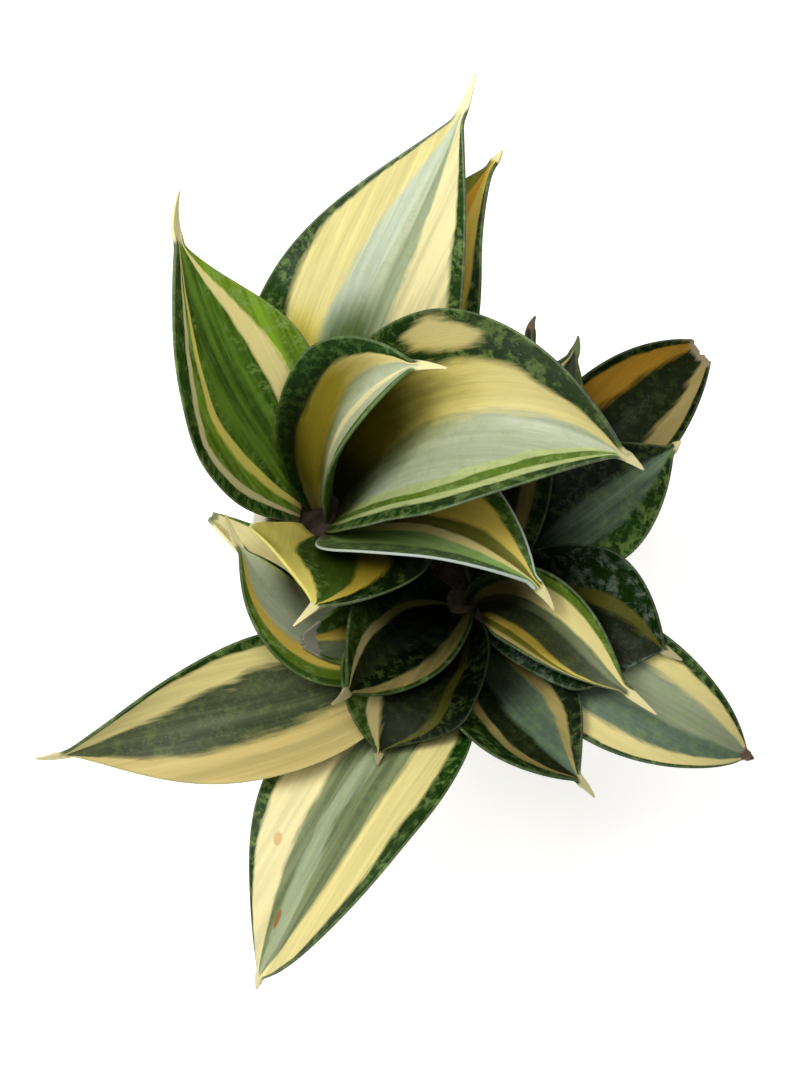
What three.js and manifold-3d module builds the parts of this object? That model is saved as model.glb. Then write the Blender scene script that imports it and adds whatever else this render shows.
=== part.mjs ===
import * as THREE from "three";
import { mergeVertices } from "three/addons/utils/BufferGeometryUtils.js";
import Module from "manifold-3d";

// Real sizes in millimetres, +Z up. The pot stands on Z = 0 and its axis is the origin.
const POT = {
  rimRadius: 55.4,
  collarRadius: 54,
  collarDrop: 20,
  shoulderRadius: 52,
  footRadius: 38,
  height: 95,
  wall: 4,
  floor: 5,
  sides: 48,
};
const SOIL = {
  bottom: 5.3,
  footRadius: 33.4,
  shoulder: 75,
  shoulderRadius: 47.4,
  top: 84.2,
  topRadius: 48.3,
  dish: 1.2,
};
const CROWN = { depth: 9, top: 85.3, chamfer: 1.2, holeClearance: 0.4, sides: 24 };

// Where each rosette's short stem stands in the soil, and how wide it is.
const ROSETTES = {
  main: { x: -31, y: 18.5, radius: 9.5 },
  pup: { x: -17, y: -16, radius: 6 },
  right: { x: 20, y: -17, radius: 14 },
};

// A blade is thickest at its foot and midrib and thins to its margins and tip.
const BLADE = {
  footThickness: 2.4,
  tipThickness: 1.4,
  marginThickness: 1.0,
  rows: 15,
  columns: 6,
};
// The blade ends in a soft spine.
const SPINE = { rows: 3, halfWidth: 1.0, endHalfWidth: 0.35, endThickness: 0.7 };
// How the cupping angle grows from the midrib to the margin.
const CUP = { atMidrib: 0.35, growth: 1.3, steps: 8 };

// Each leaf: foot = where its midrib meets the stem; turn = compass direction of the midrib and
// lean = its angle from upright, both in degrees at the foot, the middle and the tip; roll = twist
// about the midrib; cup = how far the two halves fold up towards each other; spine = the soft
// spine's length, compass direction and lean; cut = the share left of a blade with a lost tip.
const LEAVES = {
  leaf_hood: {
    foot: [-30, 18.5, 86],
    length: 95,
    width: 41,
    widest: 0.67,
    base: 0.31,
    turn: [85, 47, -14],
    lean: [14, 19, 58],
    roll: [30, 18, -18],
    cup: [52, 37, 27],
    spine: [10, -17, 79],
  },
  leaf_left: {
    foot: [-36.5, 21.5, 86.7],
    length: 116,
    width: 55,
    widest: 0.53,
    base: 0.33,
    turn: [149, 131, 97],
    lean: [24, 26, 51],
    roll: [20, -12, -57],
    cup: [42, 23, 17],
    spine: [13, 71, 63],
  },
  leaf_sail: {
    foot: [-25, 21, 87.6],
    length: 130,
    width: 70,
    widest: 0.57,
    base: 0.39,
    turn: [14, -2, -29],
    lean: [18, 41, 105],
    roll: [-8, -3, -38],
    cup: [49, 27, 43],
    spine: [7, -41, 105],
  },
  leaf_back: {
    foot: [-30, 31, 86],
    length: 139,
    width: 66,
    widest: 0.41,
    base: 0.34,
    turn: [79, 56, 63],
    lean: [13, 40, 58],
    roll: [-5, -8, 5],
    cup: [48, 11, 22],
    spine: [11, 74, 65],
  },
  leaf_strip: {
    foot: [-22.5, 30.5, 86.3],
    length: 122,
    width: 46,
    widest: 0.51,
    base: 0.29,
    turn: [49, 58, 50],
    lean: [31, 40, 54],
    roll: [12, -6, 27],
    cup: [35, 18, 24],
    spine: [4, 53, 65],
  },
  leaf_fold: {
    foot: [-22, 12.5, 86.4],
    length: 88,
    width: 54,
    widest: 0.34,
    base: 0.39,
    turn: [-18, -25, -46],
    lean: [29, 51, 108],
    roll: [21, 15, 10],
    cup: [28, 24, 23],
    spine: [9, -63, 108],
  },
  leaf_front: {
    foot: [-28.5, 6, 86.8],
    length: 58,
    width: 62,
    widest: 0.53,
    base: 0.4,
    turn: [-61, -89, -126],
    lean: [32, 34, 54],
    roll: [33, 8, -7],
    cup: [30, 20, 16],
    spine: [10, -134, 81],
  },
  leaf_dusk: {
    foot: [14, -18, 86.6],
    length: 68,
    width: 45,
    widest: 0.4,
    base: 0.38,
    turn: [-161, -133, -118],
    lean: [44, 49, 45],
    roll: [-32, -3, 41],
    cup: [51, 29, 4],
    spine: [7, -149, 75],
  },
  leaf_under: {
    foot: [14.5, -27, 86.7],
    length: 60,
    width: 47,
    widest: 0.64,
    base: 0.4,
    turn: [-122, -130, -101],
    lean: [30, 57, 111],
    roll: [-44, -20, 9],
    cup: [49, 21, 18],
    spine: [4, -94, 109],
  },
  leaf_pup_dry: {
    foot: [-15, -16.5, 86.1],
    length: 45,
    width: 26,
    widest: 0.48,
    base: 0.39,
    turn: [-100, -137, -175],
    lean: [21, 44, 62],
    roll: [-8, 33, 6],
    cup: [49, 34, 21],
    cut: 0.94,
  },
  leaf_pup_left: {
    foot: [-16, -21.5, 86.7],
    length: 64,
    width: 43,
    widest: 0.38,
    base: 0.4,
    turn: [249, 156, 119],
    lean: [33, 56, 96],
    roll: [8, -42, -29],
    cup: [37, -9, 34],
    spine: [12, 108, 84],
  },
  leaf_blunt: {
    foot: [-21.5, -13, 87.1],
    length: 59,
    width: 25,
    widest: 0.44,
    base: 0.4,
    turn: [185, 147, 143],
    lean: [76, 66, 73],
    roll: [38, -35, -31],
    cup: [48, 31, 26],
    cut: 0.93,
  },
  leaf_cup: {
    foot: [19.5, -15.5, 86.3],
    length: 75,
    width: 30,
    widest: 0.49,
    base: 0.31,
    turn: [12, -45, -41],
    lean: [19, 57, 87],
    roll: [-47, -25, -24],
    cup: [38, 29, 16],
    spine: [10, -39, 94],
  },
  leaf_side: {
    foot: [26, -18, 86.2],
    length: 69,
    width: 47,
    widest: 0.66,
    base: 0.36,
    turn: [-14, -20, -34],
    lean: [23, 53, 87],
    roll: [-16, -15, -33],
    cup: [44, 21, 17],
    spine: [6, -29, 92],
  },
  leaf_peek_brown: {
    foot: [22.5, -10, 86.3],
    length: 94,
    width: 28,
    widest: 0.49,
    base: 0.37,
    turn: [70, 78, 88],
    lean: [21, 47, 68],
    roll: [-20, 12, 12],
    cup: [42, 12, 21],
    spine: [5, 54, 74],
  },
  leaf_grey: {
    foot: [27, -8.5, 86.2],
    length: 81,
    width: 40,
    widest: 0.63,
    base: 0.35,
    turn: [36, 28, 39],
    lean: [25, 50, 83],
    roll: [-8, -8, -2],
    cup: [35, 18, 21],
    spine: [3, 41, 81],
  },
  leaf_peek_green: {
    foot: [23, -3.5, 86.3],
    length: 83,
    width: 39,
    widest: 0.55,
    base: 0.38,
    turn: [72, 64, 66],
    lean: [28, 51, 71],
    roll: [-22, -10, -3],
    cup: [34, 21, 19],
    spine: [5, 90, 71],
  },
  leaf_low: {
    foot: [20.5, -32, 86.8],
    length: 63,
    width: 44,
    widest: 0.65,
    base: 0.37,
    turn: [-100, -54, -41],
    lean: [45, 59, 96],
    roll: [-31, 17, 18],
    cup: [36, 24, 34],
    spine: [7, -55, 101],
  },
  leaf_cut: {
    foot: [30, -2, 86.5],
    length: 106,
    width: 46,
    widest: 0.51,
    base: 0.41,
    turn: [50, 46, 39],
    lean: [42, 71, 106],
    roll: [5, -3, -9],
    cup: [34, 34, 21],
    cut: 0.93,
  },
  leaf_brown: {
    foot: [33, -23.5, 86.4],
    length: 97,
    width: 42,
    widest: 0.46,
    base: 0.39,
    turn: [-35, -35, -12],
    lean: [36, 78, 142],
    roll: [-10, -19, -4],
    cup: [33, 14, 25],
    spine: [3, -15, 115],
  },
  leaf_long_left: {
    foot: [0.5, -29.5, 87.6],
    length: 122,
    width: 49,
    widest: 0.39,
    base: 0.28,
    turn: [-135, -166, -166],
    lean: [66, 77, 112],
    roll: [-31, -4, 58],
    cup: [20, 19, 38],
    spine: [9, 178, 98],
  },
  leaf_long_down: {
    foot: [8, -37, 87.5],
    length: 121,
    width: 62,
    widest: 0.47,
    base: 0.33,
    turn: [-119, -120, -120],
    lean: [56, 77, 136],
    roll: [-13, -31, -35],
    cup: [5, 16, 17],
    spine: [4, -95, 121],
  },
};

const radians = (degrees) => (degrees * Math.PI) / 180;

// Quadratic through the values at the foot, the middle and the tip.
const along = ([foot, middle, tip], t) =>
  foot * (2 * t - 1) * (t - 1) + middle * 4 * t * (1 - t) + tip * t * (2 * t - 1);

const heading = (turn, lean) =>
  new THREE.Vector3(
    Math.sin(lean) * Math.cos(turn),
    Math.sin(lean) * Math.sin(turn),
    Math.cos(lean)
  );

// Direction of the midrib, the normal of the upper face and the leaf's left side, before its roll.
function attitude(leaf, t) {
  const turn = radians(along(leaf.turn, t));
  const lean = radians(along(leaf.lean, t));
  const roll = radians(along(leaf.roll, t));
  const forward = heading(turn, lean);
  const flatNormal = new THREE.Vector3(
    -Math.cos(lean) * Math.cos(turn),
    -Math.cos(lean) * Math.sin(turn),
    Math.sin(lean)
  );
  const flatSide = new THREE.Vector3().crossVectors(flatNormal, forward);
  const normal = flatNormal.clone().multiplyScalar(Math.cos(roll)).addScaledVector(flatSide, Math.sin(roll));
  const side = flatSide.clone().multiplyScalar(Math.cos(roll)).addScaledVector(flatNormal, -Math.sin(roll));
  return { forward, normal, side };
}

// Points of the midrib from the foot to the tip, found by adding up short steps.
function midrib(leaf) {
  const steps = 64;
  const points = [new THREE.Vector3(...leaf.foot)];
  let before = attitude(leaf, 0).forward;
  for (let i = 1; i <= steps; i++) {
    const after = attitude(leaf, i / steps).forward;
    const step = before.clone().add(after).multiplyScalar((0.5 * leaf.length) / steps);
    points.push(points[i - 1].clone().add(step));
    before = after;
  }
  return (t) => {
    const place = Math.min(Math.max(t, 0), 1) * steps;
    const low = Math.min(Math.floor(place), steps - 1);
    return points[low].clone().lerp(points[low + 1], place - low);
  };
}

// Share of the full half width at t.
function spread(leaf, t) {
  if (t < leaf.widest) {
    return leaf.base + (1 - leaf.base) * Math.sin((0.5 * Math.PI * t) / leaf.widest);
  }
  return Math.cos((0.5 * Math.PI * (t - leaf.widest)) / (1 - leaf.widest));
}

// One row of the blade: the middle of its thickness, the normal there and the thickness.
function bladeRow(leaf, ribAt, t) {
  const { normal, side } = attitude(leaf, t);
  const rib = ribAt(t);
  const halfWidth = Math.max((spread(leaf, t) * leaf.width) / 2, SPINE.halfWidth);
  const fold = radians(along(leaf.cup, t));
  const middle = BLADE.footThickness * (1 - t) + BLADE.tipThickness * t;
  const row = [];
  for (let j = 0; j <= BLADE.columns; j++) {
    const u = (2 * j) / BLADE.columns - 1;
    const reach = Math.abs(u);
    const hand = Math.sign(u);
    let out = 0;
    let up = 0;
    for (let k = 0; k < CUP.steps; k++) {
      const angle = fold * (CUP.atMidrib + (CUP.growth * reach * (k + 0.5)) / CUP.steps);
      out += (Math.cos(angle) * reach * halfWidth) / CUP.steps;
      up += (Math.sin(angle) * reach * halfWidth) / CUP.steps;
    }
    const edgeAngle = reach === 0 ? 0 : fold * (CUP.atMidrib + CUP.growth * reach);
    const upright = normal.clone().multiplyScalar(Math.cos(edgeAngle));
    row.push({
      point: rib.clone().addScaledVector(side, hand * out).addScaledVector(normal, up),
      normal: upright.addScaledVector(side, -hand * Math.sin(edgeAngle)),
      thickness: middle * (1 - reach * reach) + BLADE.marginThickness * reach * reach,
    });
  }
  return row;
}

// The soft spine carries on from the tip and bends to its own direction.
function spineRows(leaf, ribAt) {
  const { forward, normal, side } = attitude(leaf, 1);
  const end = heading(radians(leaf.spine[1]), radians(leaf.spine[2]));
  const rows = [];
  let place = ribAt(1);
  let before = forward;
  for (let i = 1; i <= SPINE.rows; i++) {
    const s = i / SPINE.rows;
    const after = forward.clone().lerp(end, s).normalize();
    place = place.clone().addScaledVector(before.clone().add(after).normalize(), leaf.spine[0] / SPINE.rows);
    before = after;
    const across = side.clone().addScaledVector(after, -side.dot(after)).normalize();
    const upward = new THREE.Vector3().crossVectors(after, across);
    const halfWidth = SPINE.halfWidth * (1 - s) + SPINE.endHalfWidth * s;
    const row = [];
    for (let j = 0; j <= BLADE.columns; j++) {
      const u = (2 * j) / BLADE.columns - 1;
      row.push({
        point: place.clone().addScaledVector(across, u * halfWidth),
        normal: upward,
        thickness: BLADE.marginThickness * (1 - s) + SPINE.endThickness * s,
      });
    }
    rows.push(row);
  }
  return rows;
}

function leafGeometry(leaf) {
  const ribAt = midrib(leaf);
  const last = leaf.cut ?? 1;
  const rows = [];
  for (let i = 0; i <= BLADE.rows; i++) {
    rows.push(bladeRow(leaf, ribAt, (last * i) / BLADE.rows));
  }
  if (leaf.spine) {
    rows.push(...spineRows(leaf, ribAt));
  }
  const across = BLADE.columns + 1;
  const positions = [];
  for (const face of [1, -1]) {
    for (const row of rows) {
      for (const spot of row) {
        const p = spot.point.clone().addScaledVector(spot.normal, (face * spot.thickness) / 2);
        positions.push(p.x, p.y, p.z);
      }
    }
  }
  const top = (i, j) => i * across + j;
  const under = (i, j) => (rows.length + i) * across + j;
  const faces = [];
  const quad = (a, b, c, d) => faces.push(a, b, c, a, c, d);
  for (let i = 0; i + 1 < rows.length; i++) {
    for (let j = 0; j + 1 < across; j++) {
      quad(top(i, j + 1), top(i, j), top(i + 1, j), top(i + 1, j + 1));
      faces.push(under(i, j), under(i, j + 1), under(i + 1, j));
      faces.push(under(i, j + 1), under(i + 1, j + 1), under(i + 1, j));
    }
    quad(top(i, 0), under(i, 0), under(i + 1, 0), top(i + 1, 0));
    quad(under(i, across - 1), top(i, across - 1), top(i + 1, across - 1), under(i + 1, across - 1));
  }
  const end = rows.length - 1;
  for (let j = 0; j + 1 < across; j++) {
    quad(under(0, j + 1), under(0, j), top(0, j), top(0, j + 1));
    quad(under(end, j), under(end, j + 1), top(end, j + 1), top(end, j));
  }
  const geometry = new THREE.BufferGeometry();
  geometry.setAttribute("position", new THREE.Float32BufferAttribute(positions, 3));
  geometry.setIndex(faces);
  return geometry;
}

// The plain round pot: one closed turned wall with a collar below its rim.
function potGeometry() {
  const bevel = 1;
  const inner = POT.collarRadius - POT.wall;
  const innerFoot = POT.footRadius - POT.wall;
  const profile = [
    [0, 0],
    [POT.footRadius - bevel, 0],
    [POT.footRadius, bevel],
    [POT.shoulderRadius, POT.height - POT.collarDrop],
    [POT.collarRadius, POT.height - POT.collarDrop + bevel],
    [POT.rimRadius, POT.height - bevel],
    [POT.rimRadius - bevel, POT.height],
    [inner + bevel, POT.height],
    [inner, POT.height - bevel],
    [POT.shoulderRadius - POT.wall, POT.height - POT.collarDrop],
    [innerFoot, POT.floor],
    [0, POT.floor],
  ];
  return turned(profile, POT.sides);
}

// A turned body about the Z axis, closed on the axis at both ends.
function turned(profile, sides) {
  const points = profile.map(([radius, height]) => new THREE.Vector2(radius, height));
  const lathe = new THREE.LatheGeometry(points, sides);
  lathe.rotateX(Math.PI / 2);
  return lathe;
}

const wasm = await Module();
wasm.setup();

// A solid for cutting, from any closed geometry.
function solid(geometry) {
  const bare = new THREE.BufferGeometry();
  bare.setAttribute("position", geometry.getAttribute("position"));
  bare.setIndex(geometry.getIndex());
  const merged = mergeVertices(bare, 1e-4);
  return new wasm.Manifold(
    new wasm.Mesh({
      numProp: 3,
      vertProperties: new Float32Array(merged.getAttribute("position").array),
      triVerts: new Uint32Array(merged.getIndex().array),
    })
  );
}

function geometryOf(body) {
  const mesh = body.getMesh();
  const geometry = new THREE.BufferGeometry();
  geometry.setAttribute("position", new THREE.BufferAttribute(new Float32Array(mesh.vertProperties), 3));
  geometry.setIndex(new THREE.BufferAttribute(new Uint32Array(mesh.triVerts), 1));
  return geometry;
}

// Potting mix fills the pot, with a plain hole for each rosette's stem.
function soilGeometry() {
  const body = turned(
    [
      [0, SOIL.bottom],
      [SOIL.footRadius, SOIL.bottom],
      [SOIL.shoulderRadius, SOIL.shoulder],
      [SOIL.topRadius, SOIL.top],
      [0, SOIL.top - SOIL.dish],
    ],
    POT.sides
  );
  let filled = solid(body);
  for (const place of Object.values(ROSETTES)) {
    const radius = place.radius + CROWN.holeClearance;
    const depth = CROWN.depth + CROWN.holeClearance;
    const plug = wasm.Manifold.cylinder(2 * depth, radius, radius, CROWN.sides);
    filled = filled.subtract(plug.translate([place.x, place.y, SOIL.top - depth]));
  }
  return geometryOf(filled);
}

// A rosette's short stem, standing in its hole; the leaves sit just above its top.
function crownGeometry(place) {
  const bottom = SOIL.top - CROWN.depth;
  const geometry = turned(
    [
      [0, bottom],
      [place.radius - CROWN.chamfer, bottom],
      [place.radius, bottom + CROWN.chamfer],
      [place.radius, CROWN.top - CROWN.chamfer],
      [place.radius - CROWN.chamfer, CROWN.top],
      [0, CROWN.top],
    ],
    CROWN.sides
  );
  geometry.translate(place.x, place.y, 0);
  return geometry;
}

const finish = {
  glaze: { color: 0xe6e3da, roughness: 0.5 },
  mix: { color: 0x3a2c20, roughness: 1.0 },
  stem: { color: 0x8a7a4a, roughness: 0.7 },
  leaf: { color: 0x7e9a5a, roughness: 0.45 },
};

const part = new THREE.Group();
part.name = "snake_plant";

function add(name, geometry, look) {
  const material = new THREE.MeshStandardMaterial(look);
  material.name = name;
  const mesh = new THREE.Mesh(geometry, material);
  mesh.name = name;
  part.add(mesh);
}

add("pot", potGeometry(), finish.glaze);
add("soil", soilGeometry(), finish.mix);
for (const [name, place] of Object.entries(ROSETTES)) {
  add(`crown_${name}`, crownGeometry(place), finish.stem);
}
for (const [name, leaf] of Object.entries(LEAVES)) {
  add(name, leafGeometry(leaf), finish.leaf);
}

export default part;
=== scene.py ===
import bpy
import bmesh
import math
import random
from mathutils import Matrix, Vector, noise


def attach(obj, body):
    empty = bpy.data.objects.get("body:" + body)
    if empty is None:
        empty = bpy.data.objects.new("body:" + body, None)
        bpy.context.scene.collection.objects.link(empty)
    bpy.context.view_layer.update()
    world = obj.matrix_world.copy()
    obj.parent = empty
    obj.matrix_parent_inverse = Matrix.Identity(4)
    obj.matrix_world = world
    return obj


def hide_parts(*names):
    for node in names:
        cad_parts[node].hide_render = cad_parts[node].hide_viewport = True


# Potted birds nest snake plant: 22 variegated leaves in three rosettes, soil and a plain white pot.
# Leaf, pot and soil sizes are in millimetres and angles in degrees. The scene itself is in metres.
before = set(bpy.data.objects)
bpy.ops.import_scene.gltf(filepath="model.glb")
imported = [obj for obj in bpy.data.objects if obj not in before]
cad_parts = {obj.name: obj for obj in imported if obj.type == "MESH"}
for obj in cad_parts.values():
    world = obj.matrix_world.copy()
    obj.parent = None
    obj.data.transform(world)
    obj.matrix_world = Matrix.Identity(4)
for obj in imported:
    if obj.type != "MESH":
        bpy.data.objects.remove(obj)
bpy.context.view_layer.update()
mm = 0.001
scene = bpy.context.scene
random.seed(11)


def clearSelection():
    if bpy.context.object and bpy.context.object.mode != "OBJECT":
        bpy.ops.object.mode_set(mode="OBJECT")
    bpy.ops.object.select_all(action="DESELECT")


def applyModifiers(piece):
    clearSelection()
    bpy.context.view_layer.objects.active = piece
    piece.select_set(True)
    for modifier in list(piece.modifiers):
        bpy.ops.object.modifier_apply(modifier=modifier.name)


# the camera looks down on the plant as the photograph does
view = {
    "lens": 50,
    "sensor": 36,
    "nearest": 0.01,
    "place": (-0.005, -0.1346, 0.5598),
    "lookAt": (-0.005, 0.0075, 0.095),
}
cameraData = bpy.data.cameras.new("photoCamera")
cameraData.lens = view["lens"]
cameraData.sensor_width = view["sensor"]
cameraData.clip_start = view["nearest"]
camera = bpy.data.objects.new("photoCamera", cameraData)
camera.location = view["place"]
lookDown = Vector(view["lookAt"]) - Vector(view["place"])
camera.rotation_mode = "QUATERNION"
camera.rotation_quaternion = lookDown.to_track_quat("-Z", "Y")
scene.collection.objects.link(camera)
scene.camera = camera

# soft studio lamps, all aimed at the middle of the leaves
studio = {
    "key": {"place": (-0.42, 0.10, 0.84), "size": 0.42, "power": 5.2, "color": (1.0, 0.97, 0.91)},
    "top": {"place": (0.06, 0.02, 1.00), "size": 0.50, "power": 3.7, "color": (1.0, 0.98, 0.94)},
    "fill": {"place": (-0.10, -0.75, 0.65), "size": 0.80, "power": 1.8, "color": (1.0, 0.98, 0.95)},
}
lampTarget = Vector((0, 0.01, 0.11))
for name, lamp in studio.items():
    lampData = bpy.data.lights.new(name, "AREA")
    lampData.shape = "DISK"
    lampData.size = lamp["size"]
    lampData.energy = lamp["power"]
    lampData.color = lamp["color"]
    lampObject = bpy.data.objects.new(name, lampData)
    lampObject.location = lamp["place"]
    aim = lampTarget - Vector(lamp["place"])
    lampObject.rotation_mode = "QUATERNION"
    lampObject.rotation_quaternion = aim.to_track_quat("-Z", "Y")
    scene.collection.objects.link(lampObject)

air = {"color": (1.0, 0.99, 0.96, 1), "strength": 0.08}
world = bpy.data.worlds.new("studioAir")
world.use_nodes = True
world.node_tree.nodes["Background"].inputs["Color"].default_value = air["color"]
world.node_tree.nodes["Background"].inputs["Strength"].default_value = air["strength"]
scene.world = world
scene.view_settings.view_transform = "Standard"
print("camera and lights ready")


# short ways to add shader nodes
def node(tree, kind, **settings):
    made = tree.nodes.new(kind)
    for key, value in settings.items():
        setattr(made, key, value)
    return made


def wire(tree, outSocket, inSocket):
    tree.links.new(outSocket, inSocket)


def feed(tree, value, socket):
    if isinstance(value, (int, float)):
        socket.default_value = value
    elif isinstance(value, tuple):
        socket.default_value = (*value, 1)
    else:
        wire(tree, value, socket)


def calc(tree, operation, first, second):
    made = node(tree, "ShaderNodeMath", operation=operation)
    feed(tree, first, made.inputs[0])
    feed(tree, second, made.inputs[1])
    return made.outputs[0]


def plus(tree, first, second):
    return calc(tree, "ADD", first, second)


def minus(tree, first, second):
    return calc(tree, "SUBTRACT", first, second)


def times(tree, first, second):
    return calc(tree, "MULTIPLY", first, second)


def blendColors(tree, factor, first, second, mode="MIX"):
    made = node(tree, "ShaderNodeMix", data_type="RGBA", blend_type=mode)
    for key, value in (("Factor", factor), ("A", first), ("B", second)):
        socket = [s for s in made.inputs if s.name == key and s.enabled][0]
        feed(tree, value, socket)
    return [s for s in made.outputs if s.enabled][0]


def tint(tree, color, filterColor):
    return blendColors(tree, 1.0, color, filterColor, "MULTIPLY")


def remap(tree, value, fromRange, toRange=(0.0, 1.0), smooth=True):
    made = node(tree, "ShaderNodeMapRange")
    made.interpolation_type = "SMOOTHSTEP" if smooth else "LINEAR"
    wire(tree, value, made.inputs["Value"])
    made.inputs["From Min"].default_value, made.inputs["From Max"].default_value = fromRange
    made.inputs["To Min"].default_value, made.inputs["To Max"].default_value = toRange
    return made.outputs["Result"]


def joinXyz(tree, x, y, z):
    made = node(tree, "ShaderNodeCombineXYZ")
    for socket, value in zip(made.inputs, (x, y, z)):
        feed(tree, value, socket)
    return made.outputs[0]


def splitXyz(tree, vector):
    made = node(tree, "ShaderNodeSeparateXYZ")
    wire(tree, vector, made.inputs[0])
    return made.outputs


def grain(tree, vector, scale, detail=3.0, roughness=0.55):
    made = node(tree, "ShaderNodeTexNoise")
    wire(tree, vector, made.inputs["Vector"])
    made.inputs["Scale"].default_value = scale
    made.inputs["Detail"].default_value = detail
    made.inputs["Roughness"].default_value = roughness
    return made.outputs["Fac"]


def addRelief(tree, shader, height, strength, depth):
    bump = node(tree, "ShaderNodeBump")
    bump.inputs["Strength"].default_value = strength
    bump.inputs["Distance"].default_value = depth
    wire(tree, height, bump.inputs["Height"])
    wire(tree, bump.outputs["Normal"], shader.inputs["Normal"])


def newMaterial(name):
    made = bpy.data.materials.new(name)
    made.use_nodes = True
    return made, made.node_tree, made.node_tree.nodes["Principled BSDF"]


def newGroup(name, inputs, outputs):
    tree = bpy.data.node_groups.new(name, "ShaderNodeTree")
    for label, kind in inputs:
        tree.interface.new_socket(name=label, in_out="INPUT", socket_type=kind)
    for label, kind in outputs:
        tree.interface.new_socket(name=label, in_out="OUTPUT", socket_type=kind)
    return tree, tree.nodes.new("NodeGroupInput"), tree.nodes.new("NodeGroupOutput")


# Pattern of a leaf. The pairs named "scale" are steps of the noise per centimetre, across and along
# the blade. The ranges say which part of the noise fades from none to all.
patternForm = {
    "slowScale": (1.4, 0.55),
    "jaggedScale": (9.0, 1.1),
    "jaggedShare": 0.55,
    "streakScale": (3.4, 0.13),
    "streakRange": (0.32, 0.68),
    "mottleScale": (3.2, 4.6),
    "mottleBend": 2.2,
    "mottleRange": (0.44, 0.60),
    "patchScale": (1.0, 0.8),
    "patchRange": (0.36, 0.58),
    "fleckScale": (11.0, 8.0),
    "fleckRange": (0.3, 0.12),
    "fleckPatchRange": (0.5, 0.66),
    "ribScale": (15.0, 0.5),
    "poreShare": 0.35,
}
leafPattern, groupIn, groupOut = newGroup(
    "leafPattern",
    [("Size", "NodeSocketVector"), ("Seed", "NodeSocketFloat")],  # Size is in centimetres
    [
        ("Wander", "NodeSocketFloat"),
        ("Streak", "NodeSocketFloat"),
        ("Mottle", "NodeSocketFloat"),
        ("Fleck", "NodeSocketFloat"),
        ("Ridge", "NodeSocketFloat"),
    ],
)
acrossLeaf, alongLeaf = splitXyz(leafPattern, groupIn.outputs["Size"])[:2]


def leafGrid(scaleName, shift=None):
    acrossScale, alongScale = patternForm[scaleName]
    y = times(leafPattern, alongLeaf, alongScale)
    if shift:
        y = plus(leafPattern, y, shift)
    return joinXyz(leafPattern, times(leafPattern, acrossLeaf, acrossScale), y, groupIn.outputs["Seed"])


# how far the band edges wander
slow = leafGrid("slowScale")
drift = minus(leafPattern, grain(leafPattern, slow, 1.0, 2.0), 0.5)
jags = minus(leafPattern, grain(leafPattern, leafGrid("jaggedScale"), 1.0, 3.0), 0.5)
wander = plus(leafPattern, drift, times(leafPattern, jags, patternForm["jaggedShare"]))
wire(leafPattern, wander, groupOut.inputs["Wander"])

# long streaks
streakNoise = grain(leafPattern, leafGrid("streakScale"), 1.0, 4.0, 0.62)
wire(leafPattern, remap(leafPattern, streakNoise, patternForm["streakRange"]), groupOut.inputs["Streak"])

# bent cross mottling that comes in patches
bend = times(leafPattern, grain(leafPattern, slow, 2.6, 2.0), patternForm["mottleBend"])
mottleNoise = grain(leafPattern, leafGrid("mottleScale", bend), 1.0, 5.0, 0.66)
patches = leafGrid("patchScale")
patchNoise = grain(leafPattern, patches, 2.1, 3.0)
mottle = times(
    leafPattern,
    remap(leafPattern, mottleNoise, patternForm["mottleRange"]),
    remap(leafPattern, patchNoise, patternForm["patchRange"]),
)
wire(leafPattern, mottle, groupOut.inputs["Mottle"])

# small pale flecks
specks = node(leafPattern, "ShaderNodeTexVoronoi", feature="F1")
wire(leafPattern, leafGrid("fleckScale"), specks.inputs["Vector"])
specks.inputs["Scale"].default_value = 1.0
fleck = times(
    leafPattern,
    remap(leafPattern, specks.outputs["Distance"], patternForm["fleckRange"]),
    remap(leafPattern, grain(leafPattern, patches, 3.3, 2.0), patternForm["fleckPatchRange"]),
)
wire(leafPattern, fleck, groupOut.inputs["Fleck"])

# fine ribs and pores for the relief
pores = times(leafPattern, grain(leafPattern, patches, 26.0, 2.0), patternForm["poreShare"])
ridge = plus(leafPattern, grain(leafPattern, leafGrid("ribScale"), 1.0, 3.0), pores)
wire(leafPattern, ridge, groupOut.inputs["Ridge"])

# Colours of the leaf's bands, with how much pale mottling each band shows.
bandColors = {
    "deep": ((0.004, 0.014, 0.002), 0.30),
    "dark": ((0.008, 0.034, 0.003), 0.50),
    "green": ((0.036, 0.080, 0.008), 0.60),
    "bright": ((0.095, 0.165, 0.014), 0.80),
    "centre": ((0.056, 0.108, 0.014), 0.12),
    # painted shade: the yellow and cream band darkened to olive, for yellow bands that lie in shade
    "olive": ((0.155, 0.150, 0.020), 0.10),
    "slate": ((0.070, 0.084, 0.046), 0.20),
    "steel": ((0.300, 0.350, 0.230), 0.25),
    # painted sheen: a pale band that stands for the glossy highlight down a leaf's silver middle
    "shine": ((0.520, 0.590, 0.470), 0.10),
    "sand": ((0.420, 0.340, 0.120), 0.04),
    "lemon": ((0.800, 0.680, 0.160), 0.03),
    "lime": ((0.260, 0.420, 0.130), 0.50),
    "grey": ((0.170, 0.200, 0.110), 0.20),
    "silver": ((0.440, 0.490, 0.350), 0.22),
    "pale": ((0.480, 0.560, 0.250), 0.30),
    "cream": ((0.780, 0.670, 0.290), 0.03),
    "ivory": ((0.740, 0.660, 0.370), 0.02),
    "yellow": ((0.640, 0.480, 0.090), 0.04),
    "gold": ((0.560, 0.300, 0.032), 0.05),
    "tan": ((0.360, 0.280, 0.090), 0.10),
    "dusk": ((0.018, 0.026, 0.009), 0.10),
    "rust": ((0.280, 0.110, 0.035), 0.0),
    "scar": ((0.600, 0.400, 0.180), 0.0),
    "buff": ((0.560, 0.450, 0.180), 0.03),
    "moss": ((0.060, 0.105, 0.042), 0.70),
    "blue": ((0.120, 0.180, 0.130), 0.30),
}


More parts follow.
